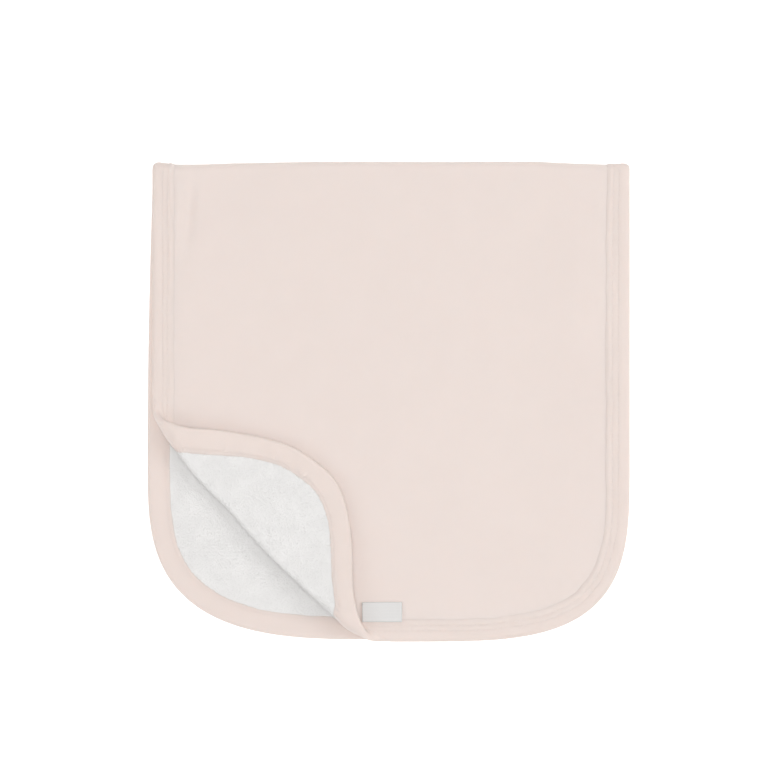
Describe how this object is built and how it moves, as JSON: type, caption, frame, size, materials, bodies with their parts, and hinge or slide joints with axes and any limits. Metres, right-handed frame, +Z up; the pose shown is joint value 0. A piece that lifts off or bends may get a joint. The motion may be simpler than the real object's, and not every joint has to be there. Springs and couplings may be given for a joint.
{
  "type": "burp cloth",
  "caption": "Folded two-layer baby burp cloth, pink jersey outside and white terry inside, bound all round, with one rounded corner turned up",
  "frame": {"origin": "centre of the folded cloth's bounding box, on the surface it lies on", "axes": "+Z up out of the surface, +Y towards the main fold, +X towards the long straight edge away from the turned corner"},
  "size_m": [0.2502, 0.2488, 0.0191],
  "materials": {
    "jersey": "fine cotton jersey, pale pink, matt",
    "terry": "looped cotton terry, white",
    "binding": "folded jersey strip, pale pink, twin-needle stitched",
    "label": "fine woven tape, white, bare"
  },
  "bodies": {
    "root": {"face_panel": "jersey", "terry_panel": "terry", "binding": "binding", "label": "label"}
  },
  "joints": []
}
